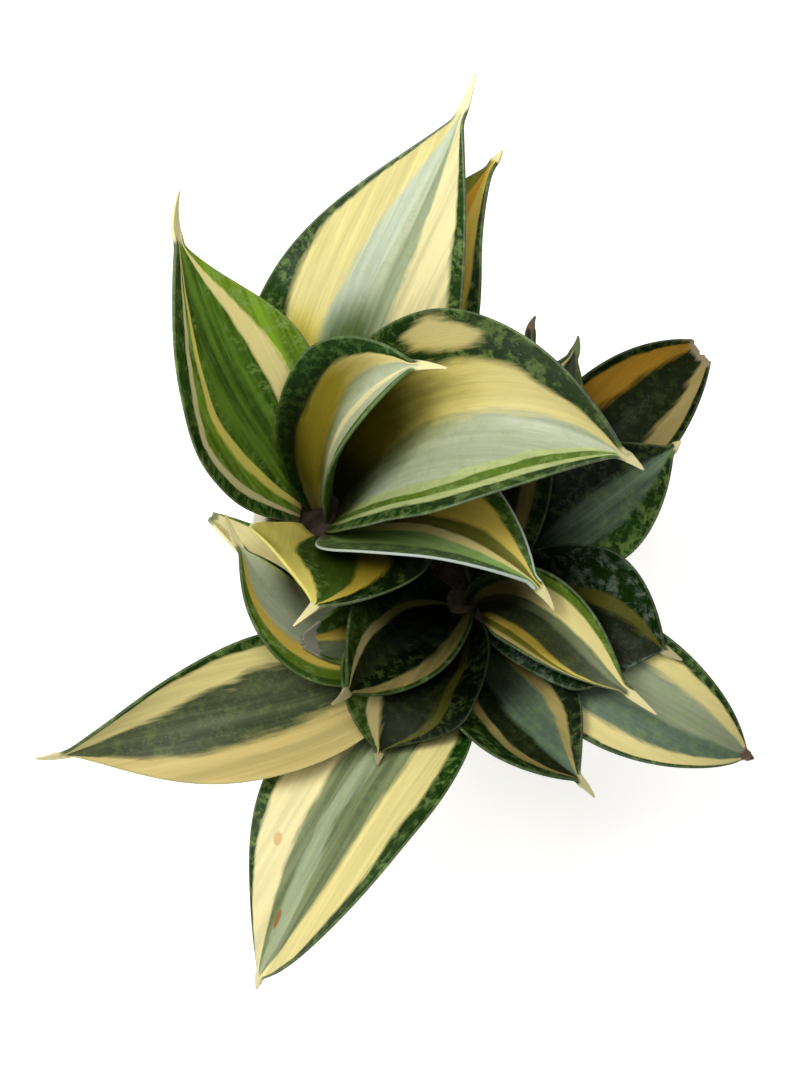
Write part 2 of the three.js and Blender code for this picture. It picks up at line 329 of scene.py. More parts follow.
# Defaults of a leaf's skin, which a leaf's own dictionary can change.
leafSkin = {
    "wobble": 0.42,  # how far band edges wander, in bands
    "soft": 0.10,  # blend between two bands
    "streaks": 0.42,  # strength of the streaks on dark bands
    "paleStreaks": 0.14,  # and on pale ones
    "streakDark": (0.52, 0.62, 0.50),
    "streakLift": 0.30,
    "mottleColor": (0.22, 0.34, 0.09),
    "flecks": 0.10,
    "fleckColor": (0.62, 0.66, 0.44),
    "spots": (),  # middle x and y, half width and half length in percent, kind
    "edge": 0.25,
    "marginLineAndSheenColor": (0.30, 0.38, 0.20),
    "edgeRange": (0.085, 0.03),  # centimetres from the margin
    "tipStart": 0.888,
    "tipSoft": 0.02,
    "tipFray": 0.03,
    "tipColor": (0.74, 0.68, 0.36),
    "footRust": 0.5,
    "footEnd": 0.11,
    "footColor": (0.16, 0.11, 0.05),
    # painted light level of the whole leaf: below 1 painted shade, above 1 painted light
    "paintedLightLevel": 1.0,
    "paintedShadeAndTint": (),  # as spots, with a colour that the skin is multiplied by: mostly painted shade, and a few only a yellower tint
    "gloss": 0.12,
    "rough": 0.36,
    "roughSpan": 0.08,
    "relief": 0.35,
    "reliefDepth": 0.00035,
}
paleRange = (0.10, 0.55)  # brightness between a dark and a pale band
bladeShare = 0.9  # the blade fills this much of the rim map's height, and the spine the rest


def spotShare(tree, places, wander, spot, soft, ragged):
    across, upward = places
    x, t, width, length = spot
    dx = times(tree, minus(tree, across, x / 100), 100 / width)
    dy = times(tree, minus(tree, upward, bladeShare * t / 100), 100 / (bladeShare * length))
    square = plus(tree, times(tree, dx, dx), times(tree, dy, dy))
    away = plus(tree, calc(tree, "POWER", square, 0.5), times(tree, wander, ragged))
    return remap(tree, away, (1 + soft / 2, 1 - soft / 2))


def paintBands(tree, ramp, look):
    # each band holds its colour between two stops, and the alpha says how much mottling it shows
    kinds = look["bands"].split()
    soft = look["soft"] / len(kinds)
    marks = []
    for index, kind in enumerate(kinds):
        low, high = index / len(kinds), (index + 1) / len(kinds)
        if index:
            low += soft
        if index + 1 < len(kinds):
            high -= soft
        marks += [(low, kind), (high, kind)]
    stops = ramp.color_ramp
    stops.elements[0].position, stops.elements[1].position = 0.0, 1.0
    for position, kind in marks[1:-1]:
        stops.elements.new(position)
    for element, (position, kind) in zip(stops.elements, marks):
        color, mottled = bandColors[kind]
        element.color = (*color, mottled)


def leafMaterial(leaf):
    look = {**leafSkin, **leaf}
    made, tree, shader = newMaterial(leaf["name"] + "Skin")
    bandsMap = splitXyz(tree, node(tree, "ShaderNodeUVMap", uv_map="bands").outputs[0])
    rimMap = splitXyz(tree, node(tree, "ShaderNodeUVMap", uv_map="rim").outputs[0])
    upward = rimMap[1]
    places = (bandsMap[1], upward)
    pattern = node(tree, "ShaderNodeGroup", node_tree=leafPattern)
    wire(tree, node(tree, "ShaderNodeUVMap", uv_map="size").outputs[0], pattern.inputs["Size"])
    pattern.inputs["Seed"].default_value = random.uniform(0, 60)
    wander, streak = pattern.outputs["Wander"], pattern.outputs["Streak"]

    # one ramp paints the bands
    wobble = look["wobble"] / len(look["bands"].split())
    ramp = node(tree, "ShaderNodeValToRGB")
    wire(tree, plus(tree, bandsMap[0], times(tree, wander, wobble)), ramp.inputs["Fac"])
    paintBands(tree, ramp, look)
    bands = ramp.outputs["Color"]

    # long streaks darken and lighten every band, most in the green ones
    streakDark = tint(tree, bands, look["streakDark"])
    lift = look["streakLift"]
    streakPale = blendColors(tree, 1.0, bands, (lift, lift, 0.8 * lift), "DODGE")
    streaked = blendColors(tree, streak, streakDark, streakPale)
    light = node(tree, "ShaderNodeRGBToBW")
    wire(tree, bands, light.inputs[0])
    streakShare = remap(tree, light.outputs[0], paleRange, (look["streaks"], look["paleStreaks"]))
    calm = blendColors(tree, streakShare, bands, streaked)
    mottleShare = times(tree, pattern.outputs["Mottle"], ramp.outputs["Alpha"])
    mottled = blendColors(tree, mottleShare, calm, look["mottleColor"])
    fleckShare = times(tree, pattern.outputs["Fleck"], look["flecks"])
    skin = blendColors(tree, fleckShare, mottled, look["fleckColor"])

    # single blotches and scars
    for *spot, kind in look["spots"]:
        share = spotShare(tree, places, wander, spot, 0.45, 0.9)
        skin = blendColors(tree, times(tree, share, 0.9), skin, bandColors[kind][0])

    # thin pale horny line along the margin; on the folded leaf it is strong and blue-white, a painted
    # highlight along its thick edge
    edgeShare = times(tree, remap(tree, rimMap[0], look["edgeRange"]), look["edge"])
    skin = blendColors(tree, edgeShare, skin, look["marginLineAndSheenColor"])

    # the tip and the soft spine are cream, or brown where the tip has dried
    tipPlace = plus(tree, upward, times(tree, minus(tree, streak, 0.5), look["tipFray"]))
    tipShare = remap(tree, tipPlace, (look["tipStart"], look["tipStart"] + look["tipSoft"]))
    skin = blendColors(tree, tipShare, skin, look["tipColor"])

    # the foot of the blade is a little rusty where it clasps the stem
    footShare = times(tree, remap(tree, upward, (look["footEnd"], 0.0)), look["footRust"])
    skin = blendColors(tree, footShare, skin, look["footColor"])
    # the whole leaf is multiplied by its painted light level: below 1 it is painted shade for a leaf
    # lying in shade, above 1 painted light for a leaf the lamps reach too little
    skin = tint(tree, skin, (look["paintedLightLevel"],) * 3)

    # soft painted shade where the blade folds into the rosette and lies under other leaves; a few of
    # these patches only tint the skin yellower
    for *spot, shadeTint in look["paintedShadeAndTint"]:
        share = spotShare(tree, places, wander, spot, 0.9, 0.3)
        skin = blendColors(tree, share, skin, tint(tree, skin, shadeTint))
    wire(tree, skin, shader.inputs["Base Color"])

    shader.inputs["Specular IOR Level"].default_value = look["gloss"]
    roughness = (look["rough"] + look["roughSpan"], look["rough"])
    wire(tree, remap(tree, streak, (0.0, 1.0), roughness, smooth=False), shader.inputs["Roughness"])
    addRelief(tree, shader, pattern.outputs["Ridge"], look["relief"], look["reliefDepth"])
    return made


print("leaf node groups ready")


# The form of a leaf. Each leaf gives turn, lean, roll and cup at its foot, middle and tip.
# A point on it has t from 0 at the foot to 1 at the tip, and u from -1 to 1 across.
bladeForm = {
    "rows": 44,
    "spineRows": 7,
    "columns": 24,
    "crowding": 1.25,  # rows crowd towards the tip, where the outline turns fastest
    "footThick": 2.4,
    "tipThick": 1.4,
    "edgeThick": 1.0,
    "curlSteps": 8,
    "curlStart": 0.35,
    "curlGain": 1.3,
    "spineWidth": 3.4,
    "spineEndHalf": 0.25,
    "spineThick": (1.1, 0.5),
    "spineSpan": 8,
    "ripple": 0.5,
    "rippleStretch": 40,
    "grooveDepth": 0.10,
    "grooves": 9,
    "raggedCut": 1.6,
    "heights": (0.25, 0.55, 0.88),  # t at which the three rows of band edges hold
    "heightsReach": 0.09,
    "leastBand": 0.004,
}


def along(three, t):
    foot, middle, tip = three
    return foot * (2 * t - 1) * (t - 1) + middle * 4 * t * (1 - t) + tip * t * (2 * t - 1)


def heading(turn, lean):
    return Vector((math.sin(lean) * math.cos(turn), math.sin(lean) * math.sin(turn), math.cos(lean)))


def attitude(leaf, t):
    turn = math.radians(along(leaf["turn"], t))
    lean = math.radians(along(leaf["lean"], t))
    roll = math.radians(along(leaf["roll"], t))
    forward = heading(turn, lean)
    flatNormal = Vector((
        -math.cos(lean) * math.cos(turn),
        -math.cos(lean) * math.sin(turn),
        math.sin(lean),
    ))
    flatSide = flatNormal.cross(forward)
    normal = flatNormal * math.cos(roll) + flatSide * math.sin(roll)
    side = flatSide * math.cos(roll) - flatNormal * math.sin(roll)
    return forward, normal, side


def midrib(leaf, steps=64):
    points = [Vector(leaf["foot"])]
    before = attitude(leaf, 0)[0]
    for i in range(1, steps + 1):
        after = attitude(leaf, i / steps)[0]
        points.append(points[-1] + (before + after) * (0.5 * leaf["length"] / steps))
        before = after
    return points


def ribAt(points, t):
    place = min(max(t, 0), 1) * (len(points) - 1)
    low = min(int(place), len(points) - 2)
    return points[low].lerp(points[low + 1], place - low)


def spineWidth(leaf):
    return leaf.get("spineWidth", bladeForm["spineWidth"])


def halfWidth(leaf, t):
    if t < leaf["widest"]:
        share = leaf["base"] + (1 - leaf["base"]) * math.sin(0.5 * math.pi * t / leaf["widest"])
    else:
        share = math.cos(0.5 * math.pi * (t - leaf["widest"]) / (1 - leaf["widest"]))
    return max(share * leaf["width"] / 2, spineWidth(leaf) / 2)


def bladeThickness(t, reach):
    middle = bladeForm["footThick"] * (1 - t) + bladeForm["tipThick"] * t
    return middle * (1 - reach * reach) + bladeForm["edgeThick"] * reach * reach


def bladeSpot(leaf, points, t, u):
    forward, normal, side = attitude(leaf, t)
    reach, hand = abs(u), (u > 0) - (u < 0)
    half = halfWidth(leaf, t)
    fold = math.radians(along(leaf["cup"], t))
    start, gain, steps = bladeForm["curlStart"], bladeForm["curlGain"], bladeForm["curlSteps"]
    out = up = 0.0
    for k in range(steps):
        angle = fold * (start + gain * reach * (k + 0.5) / steps)
        out += math.cos(angle) * reach * half / steps
        up += math.sin(angle) * reach * half / steps
    edgeAngle = fold * (start + gain * reach) if reach else 0.0
    faceNormal = normal * math.cos(edgeAngle) - side * (hand * math.sin(edgeAngle))
    spot = ribAt(points, t) + side * (hand * out) + normal * up
    # a slow ripple runs along the margins, and the blade has faint long grooves
    fade = math.sin(0.5 * math.pi * min(1.0, 5 * (1 - t)))
    ripple = leaf.get("ripple", bladeForm["ripple"]) * reach ** 3 * fade
    beat = 2.3 * t * leaf["length"] / bladeForm["rippleStretch"]
    wave = noise.noise(Vector((beat, 1.7 * hand, leaf["length"])))
    grooveWave = math.cos(math.pi * bladeForm["grooves"] * u)
    groove = bladeForm["grooveDepth"] * grooveWave * (1 - t) * (1 - reach)
    return spot + faceNormal * (ripple * wave + groove), bladeThickness(t, reach), half


def spineSpots(leaf, points, rows):
    forward, normal, side = attitude(leaf, 1)
    length, turn, lean = leaf["spine"]
    end = heading(math.radians(turn), math.radians(lean))
    thickFoot, thickEnd = bladeForm["spineThick"]
    place, before = ribAt(points, 1), forward
    made = []
    for i in range(1, rows + 1):
        s = i / rows
        after = forward.lerp(end, s).normalized()
        place = place + (before + after).normalized() * (length / rows)
        before = after
        acrossSpine = (side - after * side.dot(after)).normalized()
        half = spineWidth(leaf) / 2 * (1 - s) + bladeForm["spineEndHalf"] * s
        made.append((place.copy(), acrossSpine, half, thickFoot * (1 - s) + thickEnd * s))
    return made


def bandPlace(leaf, t, u):
    # where this spot lies among the leaf's bands, from 0 at the right margin to 1 at the left one
    tLow, tMiddle, tHigh = leaf.get("heights", bladeForm["heights"])
    top, least = tHigh + bladeForm["heightsReach"], bladeForm["leastBand"]
    edges = [0.0]
    for low, middle, high in zip(leaf["bandsLow"], leaf["bandsMid"], leaf["bandsHigh"]):
        if t < tMiddle:
            edges.append((low + (middle - low) * (t - tLow) / (tMiddle - tLow)) / 100)
        else:
            edges.append((middle + (high - middle) * (min(t, top) - tMiddle) / (tHigh - tMiddle)) / 100)
    edges.append(1.0)
    for i in range(1, len(edges) - 1):
        edges[i] = min(max(edges[i], edges[i - 1] + least), 1 - least * (len(edges) - 1 - i))
    x = (u + 1) / 2
    for i in range(len(edges) - 1):
        if x <= edges[i + 1] or i == len(edges) - 2:
            return (i + (x - edges[i]) / (edges[i + 1] - edges[i])) / (len(edges) - 1)


def makeLeaf(leaf):
    clearSelection()
    bladeRows, spineRows = bladeForm["rows"], bladeForm["spineRows"]
    spiny = "spine" in leaf
    rows = bladeRows + (spineRows if spiny else 0)
    bpy.ops.mesh.primitive_grid_add(x_subdivisions=bladeForm["columns"], y_subdivisions=rows, size=2)
    piece = bpy.context.object
    piece.name = leaf["name"]
    points = midrib(leaf)
    last = leaf.get("cut", 1.0)
    spikes = spineSpots(leaf, points, spineRows) if spiny else []
    thickGroup = piece.vertex_groups.new(name="thickness")
    bpy.ops.object.mode_set(mode="EDIT")
    mesh = bmesh.from_edit_mesh(piece.data)
    bandsUv = mesh.loops.layers.uv.new("bands")
    sizeUv = mesh.loops.layers.uv.new("size")
    rimUv = mesh.loops.layers.uv.new("rim")
    weights = mesh.verts.layers.deform.verify()
    maps = {}
    for vert in mesh.verts:
        u = vert.co.x
        row = round((vert.co.y + 1) / 2 * rows)
        if row <= bladeRows:
            t = last * (1 - (1 - row / bladeRows) ** bladeForm["crowding"])
            spot, thick, half = bladeSpot(leaf, points, t, u)
            if "cut" in leaf and row == bladeRows:
                ragged = noise.noise(Vector((4 * u, leaf["length"], 0)))
                spot += attitude(leaf, t)[0] * (bladeForm["raggedCut"] * ragged)
            maps[vert] = (
                (bandPlace(leaf, t, u), (u + 1) / 2),
                (u * half / 10, t * leaf["length"] / 10),
                ((1 - abs(u)) * half / 10, t * bladeShare),
            )
        else:
            place, acrossSpine, half, thick = spikes[row - bladeRows - 1]
            spot = place + acrossSpine * (u * half)
            s = (row - bladeRows) / spineRows
            maps[vert] = (
                (bandPlace(leaf, 1.0, u), (u + 1) / 2),
                (u * half / 10, (leaf["length"] + s * bladeForm["spineSpan"]) / 10),
                (1.0, bladeShare + (1 - bladeShare) * s),
            )
        vert.co = spot * mm
        vert[weights][thickGroup.index] = thick / bladeForm["footThick"]
    for face in mesh.faces:
        for loop in face.loops:
            loop[bandsUv].uv, loop[sizeUv].uv, loop[rimUv].uv = maps[loop.vert]
    bmesh.update_edit_mesh(piece.data)
    bpy.ops.object.mode_set(mode="OBJECT")
    solidify = piece.modifiers.new("thickness", "SOLIDIFY")
    solidify.thickness = bladeForm["footThick"] * mm
    solidify.offset = 0
    solidify.vertex_group = "thickness"
    smooth = piece.modifiers.new("smooth", "SUBSURF")
    smooth.levels = smooth.render_levels = 1
    applyModifiers(piece)
    bpy.ops.object.shade_smooth()
    piece.data.materials.clear()
    piece.data.materials.append(leafMaterial(leaf))
    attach(piece, "root")
    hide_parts(leaf["node"])


# The leaves. Band edges are percent of the width, counted from the right margin to the left.
# upright leaf that hoods over the growing point
hoodLeaf = {
    "node": "leaf_hood",
    "name": "hoodLeaf",
    "foot": (-30, 18.5, 86),
    "length": 95,
    "width": 41,
    "widest": 0.67,
    "base": 0.31,
    "turn": (85, 47, -14),
    "lean": (14, 19, 58),
    "roll": (30, 18, -18),
    "cup": (52, 37, 27),
    "spine": (10, -17, 79),
    "bands": "green silver ivory silver cream dark",
    "bandsLow": (30, 44, 46, 54, 84),
    "bandsMid": (22, 36, 40, 51, 79),
    "bandsHigh": (12, 30, 36, 64, 78),
    # painted shade inside the hood's hollow and low on its left margin
    "paintedShadeAndTint": ((68, 42, 24, 46, (0.24, 0.22, 0.04)), (92, 18, 22, 32, (0.35, 0.40, 0.25))),
    "mottleColor": (0.12, 0.24, 0.05),
}
makeLeaf(hoodLeaf)

# tall leaf on the left, wrapped round the front of the crown
leftLeaf = {
    "node": "leaf_left",
    "name": "leftLeaf",
    "foot": (-36.5, 21.5, 86.7),
    "length": 116,
    "width": 55,
    "widest": 0.53,
    "base": 0.33,
    "turn": (149, 131, 97),
    "lean": (24, 26, 51),
    "roll": (20, -12, -57),
    "cup": (42, 23, 17),
    "spine": (13, 71, 63),
    "bands": "bright bright cream green centre green lemon bright ivory dark",
    "bandsLow": (4, 16, 30, 36, 62, 66, 73, 86, 88),
    "bandsMid": (5, 17, 31, 37, 66, 70, 74, 88, 91),
    "bandsHigh": (5, 16, 27, 32, 58, 61, 64, 68, 68.5),
    "streaks": 0.9,
    "streakLift": 0.6,
    "paintedLightLevel": 1.12,
    "spineWidth": 4.2,
}
makeLeaf(leftLeaf)

# largest leaf, arching over the middle like a sail
sailLeaf = {
    "node": "leaf_sail",
    "name": "sailLeaf",
    "foot": (-25, 21, 87.6),
    "length": 130,
    "width": 70,
    "widest": 0.57,
    "base": 0.39,
    "turn": (14, -2, -29),
    "lean": (18, 41, 105),
    "roll": (-8, -3, -38),
    "cup": (49, 27, 43),
    "spine": (7, -41, 105),
    "bands": "dark pale bright pale silver cream dark",
    "bandsLow": (9, 9.5, 17, 19, 50, 74),
    "bandsMid": (9, 10, 16, 18, 52, 77),
    "bandsHigh": (12, 16, 28, 29, 57, 74),
    "spots": ((89, 60, 8, 9, "cream"),),
    # painted shade where the hood shades the sail's foot, and a yellower tint over the middle of its
    # cream band
    "paintedShadeAndTint": (
        (66, 18, 30, 36, (0.12, 0.12, 0.02)),
        (40, 4, 40, 22, (0.25, 0.28, 0.12)),
        (68, 30, 26, 34, (0.96, 0.92, 0.5)),
    ),
    "paintedLightLevel": 0.8,
    "gloss": 0.4,
    "paleStreaks": 0.25,
    "spineWidth": 3.8,
}
makeLeaf(sailLeaf)

# broad pale leaf at the back
backLeaf = {
    "node": "leaf_back",
    "name": "backLeaf",
    "foot": (-30, 31, 86),
    "length": 139,
    "width": 66,
    "widest": 0.41,
    "base": 0.34,
    "turn": (79, 56, 63),
    "lean": (13, 40, 58),
    "roll": (-5, -8, 5),
    "cup": (48, 11, 22),
    "spine": (11, 74, 65),
    # the fifth band is a painted sheen down the silver middle, and the strong pale streaks add painted
    # sheen stripes to the real ones
    "bands": "dark ivory steel silver shine cream dark",
    "bandsLow": (8, 41, 47, 52, 67, 86),
    "bandsMid": (9, 40, 48, 53, 68, 96),
    "bandsHigh": (12, 40, 47, 52, 68, 97.5),
    "heights": (0.45, 0.66, 0.88),
    "streaks": 0.7,
    "paleStreaks": 0.4,
    "gloss": 0.5,
    "rough": 0.3,
    # painted shadow of the sail on the silver middle, and a yellower patch low on the cream band
    "paintedShadeAndTint": ((53, 38, 13, 16, (0.2, 0.28, 0.12)), (76, 32, 14, 14, (1.0, 0.92, 0.35))),
}
makeLeaf(backLeaf)

# narrow strip of a leaf seen edge on behind the broad one
stripLeaf = {
    "node": "leaf_strip",
    "name": "stripLeaf",
    "foot": (-22.5, 30.5, 86.3),
    "length": 122,
    "width": 46,
    "widest": 0.51,
    "base": 0.29,
    "turn": (49, 58, 50),
    "lean": (31, 40, 54),
    "roll": (12, -6, 27),
    "cup": (35, 18, 24),
    "spine": (4, 53, 65),
    "bands": "dark yellow gold olive dark",
    "bandsLow": (13, 40, 60, 92),
    "bandsMid": (14, 40, 60, 92),
    "bandsHigh": (12, 42, 62, 94),
}
makeLeaf(stripLeaf)

# folded leaf below the sail, its thick edge turned up
foldLeaf = {
    "node": "leaf_fold",
    "name": "foldLeaf",
    "foot": (-22, 12.5, 86.4),
    "length": 88,
    "width": 54,
    "widest": 0.34,
    "base": 0.39,
    "turn": (-18, -25, -46),
    "lean": (29, 51, 108),
    "roll": (21, 15, 10),
    "cup": (28, 24, 23),
    "spine": (9, -63, 108),
    "bands": "moss lime cream olive yellow green",
    "bandsLow": (16, 36, 44, 48, 80),
    "bandsMid": (17, 38, 46, 54, 90),
    "bandsHigh": (16, 31, 39, 62, 76),
    # a strong blue-white margin line: a painted highlight on the thick upturned edge
    "edge": 0.9,
    "marginLineAndSheenColor": (0.50, 0.58, 0.54),
    "spineWidth": 4.2,
}
makeLeaf(foldLeaf)

# short leaf in front of the crown, folded along its middle
frontLeaf = {
    "node": "leaf_front",
    "name": "frontLeaf",
    "foot": (-28.5, 6, 86.8),
    "length": 58,
    "width": 62,
    "widest": 0.53,
    "base": 0.4,
    "turn": (-61, -89, -126),
    "lean": (32, 34, 54),
    "roll": (33, 8, -7),
    "cup": (30, 20, 16),
    "spine": (10, -134, 81),
    "bands": "lemon green centre yellow deep",
    "bandsLow": (28, 34, 60, 72),
    "bandsMid": (28, 36, 61, 76),
    "bandsHigh": (38, 52, 62, 73),
    "ripple": 2.2,
    # painted shade over the lower half of the inner bands
    "paintedShadeAndTint": ((72, 35, 42, 50, (0.3, 0.3, 0.12)),),
}
makeLeaf(frontLeaf)

# small blunt leaf of the pup
bluntLeaf = {
    "node": "leaf_blunt",
    "name": "bluntLeaf",
    "foot": (-21.5, -13, 87.1),
    "length": 59,
    "width": 25,
    "widest": 0.44,
    "base": 0.4,
    "turn": (185, 147, 143),
    "lean": (76, 66, 73),
    "roll": (38, -35, -31),
    "cup": (48, 31, 26),
    "cut": 0.93,
    "bands": "green ivory ivory",
    "bandsLow": (8, 50),
    "bandsMid": (8, 50),
    "bandsHigh": (8, 45),
    "tipStart": 0.8,
    "tipColor": (0.20, 0.24, 0.13),
    "paintedLightLevel": 1.2,
}
makeLeaf(bluntLeaf)

# outer leaf of the pup, on the left
pupLeftLeaf = {
    "node": "leaf_pup_left",
    "name": "pupLeftLeaf",
    "foot": (-16, -21.5, 86.7),
    "length": 64,
    "width": 43,
    "widest": 0.38,
    "base": 0.4,
    "turn": (249, 156, 119),
    "lean": (33, 56, 96),
    "roll": (8, -42, -29),
    "cup": (37, -9, 34),
    "spine": (12, 108, 84),
    "bands": "deep pale silver yellow bright green",
    "bandsLow": (4, 10, 74, 87, 95),
    "bandsMid": (4, 13, 76, 86, 95),
    "bandsHigh": (8, 14, 80, 88, 96),
    "paintedLightLevel": 0.7,
}
makeLeaf(pupLeftLeaf)

# small leaf of the pup with a dried ragged tip
pupDryLeaf = {
    "node": "leaf_pup_dry",
    "name": "pupDryLeaf",
    "foot": (-15, -16.5, 86.1),
    "length": 45,
    "width": 26,
    "widest": 0.48,
    "base": 0.39,
    "turn": (-100, -137, -175),
    "lean": (21, 44, 62),
    "roll": (-8, 33, 6),
    "cup": (49, 34, 21),
    "cut": 0.94,
    "bands": "green yellow grey green",
    "bandsLow": (48, 62, 92),
    "bandsMid": (48, 62, 92),
    "bandsHigh": (36, 52, 92),
    "tipStart": 0.74,
    "tipColor": (0.30, 0.30, 0.24),
    "paintedLightLevel": 0.6,
}
makeLeaf(pupDryLeaf)

# dark upright leaf at the heart of the right rosette
duskLeaf = {
    "node": "leaf_dusk",
    "name": "duskLeaf",
    "foot": (14, -18, 86.6),
    "length": 68,
    "width": 45,
    "widest": 0.4,
    "base": 0.38,
    "turn": (-161, -133, -118),
    "lean": (44, 49, 45),
    "roll": (-32, -3, 41),
    "cup": (51, 29, 4),
    "spine": (7, -149, 75),
    "bands": "green cream dusk deep sand green",
    "bandsLow": (31, 33, 58, 84, 99),
    "bandsMid": (30, 34, 60, 82, 98),
    "bandsHigh": (24, 30, 60, 78, 93),
    "streaks": 0.9,
    "paintedLightLevel": 0.42,
    "gloss": 0.05,
    # painted shade over the foot half of the leaf, deep in the rosette
    "paintedShadeAndTint": ((50, 16, 90, 44, (0.12, 0.14, 0.10)),),
}
makeLeaf(duskLeaf)

# dark leaf below it
underLeaf = {
    "node": "leaf_under",
    "name": "underLeaf",
    "foot": (14.5, -27, 86.7),
    "length": 60,
    "width": 47,
    "widest": 0.64,
    "base": 0.4,
    "turn": (-122, -130, -101),
    "lean": (30, 57, 111),
    "roll": (-44, -20, 9),
    "cup": (49, 21, 18),
    "spine": (4, -94, 109),
    "bands": "green cream dusk olive deep",
    "bandsLow": (28, 36, 74, 75),
    "bandsMid": (28, 36, 76, 78),
    "bandsHigh": (26, 39, 84, 89),
    "paintedLightLevel": 0.45,
    "gloss": 0.05,
    # painted shade over the left side from the foot up
    "paintedShadeAndTint": ((80, 30, 60, 40, (0.3, 0.3, 0.25)),),
}
makeLeaf(underLeaf)

# cupped leaf to the right, half in shade
cupLeaf = {
    "node": "leaf_cup",
    "name": "cupLeaf",
    "foot": (19.5, -15.5, 86.3),
    "length": 75,
    "width": 30,
    "widest": 0.49,
    "base": 0.31,
    "turn": (12, -45, -41),
    "lean": (19, 57, 87),
    "roll": (-47, -25, -24),
    "cup": (38, 29, 16),
    "spine": (10, -39, 94),
    "bands": "deep sand olive yellow slate grey cream bright dark",
    "bandsLow": (3, 8, 18, 26, 52, 60, 80, 97),
    "bandsMid": (2, 7, 14, 22, 46, 56, 82, 98),
    "bandsHigh": (0.5, 1, 2, 3, 40, 64, 88, 99),
    "paintedLightLevel": 0.85,
    # painted shade, nearly black, on the foot half, and lighter painted shade on the right side further
    # up
    "paintedShadeAndTint": ((60, 14, 46, 34, (0.06, 0.06, 0.04)), (30, 55, 22, 30, (0.4, 0.4, 0.3))),
}
makeLeaf(cupLeaf)

# dark leaf on the right with silvery patches
sideLeaf = {
    "node": "leaf_side",
    "name": "sideLeaf",
    "foot": (26, -18, 86.2),
    "length": 69,
    "width": 47,
    "widest": 0.66,
    "base": 0.36,
    "turn": (-14, -20, -34),
    "lean": (23, 53, 87),
    "roll": (-16, -15, -33),
    "cup": (44, 21, 17),
    "spine": (6, -29, 92),
    "bands": "dark dusk olive dark",
    "bandsLow": (10, 66, 71),
    "bandsMid": (10, 63, 68),
    "bandsHigh": (10, 60, 69),
    "mottleColor": (0.30, 0.38, 0.30),
    "paintedLightLevel": 0.5,
    "gloss": 0.05,
    # painted shade over the foot half of the leaf
    "paintedShadeAndTint": ((70, 20, 60, 45, (0.15, 0.15, 0.12)),),
}
makeLeaf(sideLeaf)

# leaf whose brown tip shows past the sail
peekBrownLeaf = {
    "node": "leaf_peek_brown",
    "name": "peekBrownLeaf",
    "foot": (22.5, -10, 86.3),
    "length": 94,
    "width": 28,
    "widest": 0.49,
    "base": 0.37,
    "turn": (70, 78, 88),
    "lean": (21, 47, 68),
    "roll": (-20, 12, 12),
    "cup": (42, 12, 21),
    "spine": (5, 54, 74),
    "bands": "dark tan dusk dark",
    "bandsLow": (20, 35, 80),
    "bandsMid": (20, 35, 80),
    "bandsHigh": (20, 35, 80),
    "tipColor": (0.30, 0.20, 0.11),
    "paintedLightLevel": 0.3,
}
makeLeaf(peekBrownLeaf)

# blue grey leaf at the right
greyLeaf = {
    "node": "leaf_grey",
    "name": "greyLeaf",
    "foot": (27, -8.5, 86.2),
    "length": 81,
    "width": 40,
    "widest": 0.63,
    "base": 0.35,
    "turn": (36, 28, 39),
    "lean": (25, 50, 83),
    "roll": (-8, -8, -2),
    "cup": (35, 18, 21),
    "spine": (3, 41, 81),
    "bands": "dark blue deep",
    "bandsLow": (24, 55),
    "bandsMid": (25, 57),
    "bandsHigh": (27, 60),
    "streaks": 0.9,
    "gloss": 0.08,
    "paintedLightLevel": 0.8,
    # painted shade at the foot and on the left side higher up
    "paintedShadeAndTint": ((60, 10, 70, 40, (0.12, 0.12, 0.12)), (82, 60, 26, 40, (0.4, 0.4, 0.4))),
}
makeLeaf(greyLeaf)

# leaf whose green tip shows past the sail
peekGreenLeaf = {
    "node": "leaf_peek_green",
    "name": "peekGreenLeaf",
    "foot": (23, -3.5, 86.3),
    "length": 83,
    "width": 39,
    "widest": 0.55,
    "base": 0.38,
    "turn": (72, 64, 66),
    "lean": (28, 51, 71),
    "roll": (-22, -10, -3),
    "cup": (34, 21, 19),
    "spine": (5, 90, 71),
    "bands": "green dusk cream dark",
    "bandsLow": (18, 70, 82),
    "bandsMid": (18, 70, 82),
    "bandsHigh": (18, 70, 82),
    "tipColor": (0.16, 0.24, 0.10),
    "paintedLightLevel": 0.5,
}
makeLeaf(peekGreenLeaf)

# low leaf at the front right
lowLeaf = {
    "node": "leaf_low",
    "name": "lowLeaf",
    "foot": (20.5, -32, 86.8),
    "length": 63,
    "width": 44,
    "widest": 0.65,
    "base": 0.37,
    "turn": (-100, -54, -41),
    "lean": (45, 59, 96),
    "roll": (-31, 17, 18),
    "cup": (36, 24, 34),
    "spine": (7, -55, 101),
    "bands": "dark sand dusk blue sand deep",
    "bandsLow": (30, 34, 54, 86, 91),
    "bandsMid": (28, 33, 51, 82, 89),
    "bandsHigh": (19, 24, 46, 67, 75),
    "paintedLightLevel": 0.65,
    "gloss": 0.06,
    # painted shade on the left side of the foot
    "paintedShadeAndTint": ((80, 14, 50, 38, (0.2, 0.2, 0.15)),),
}
makeLeaf(lowLeaf)

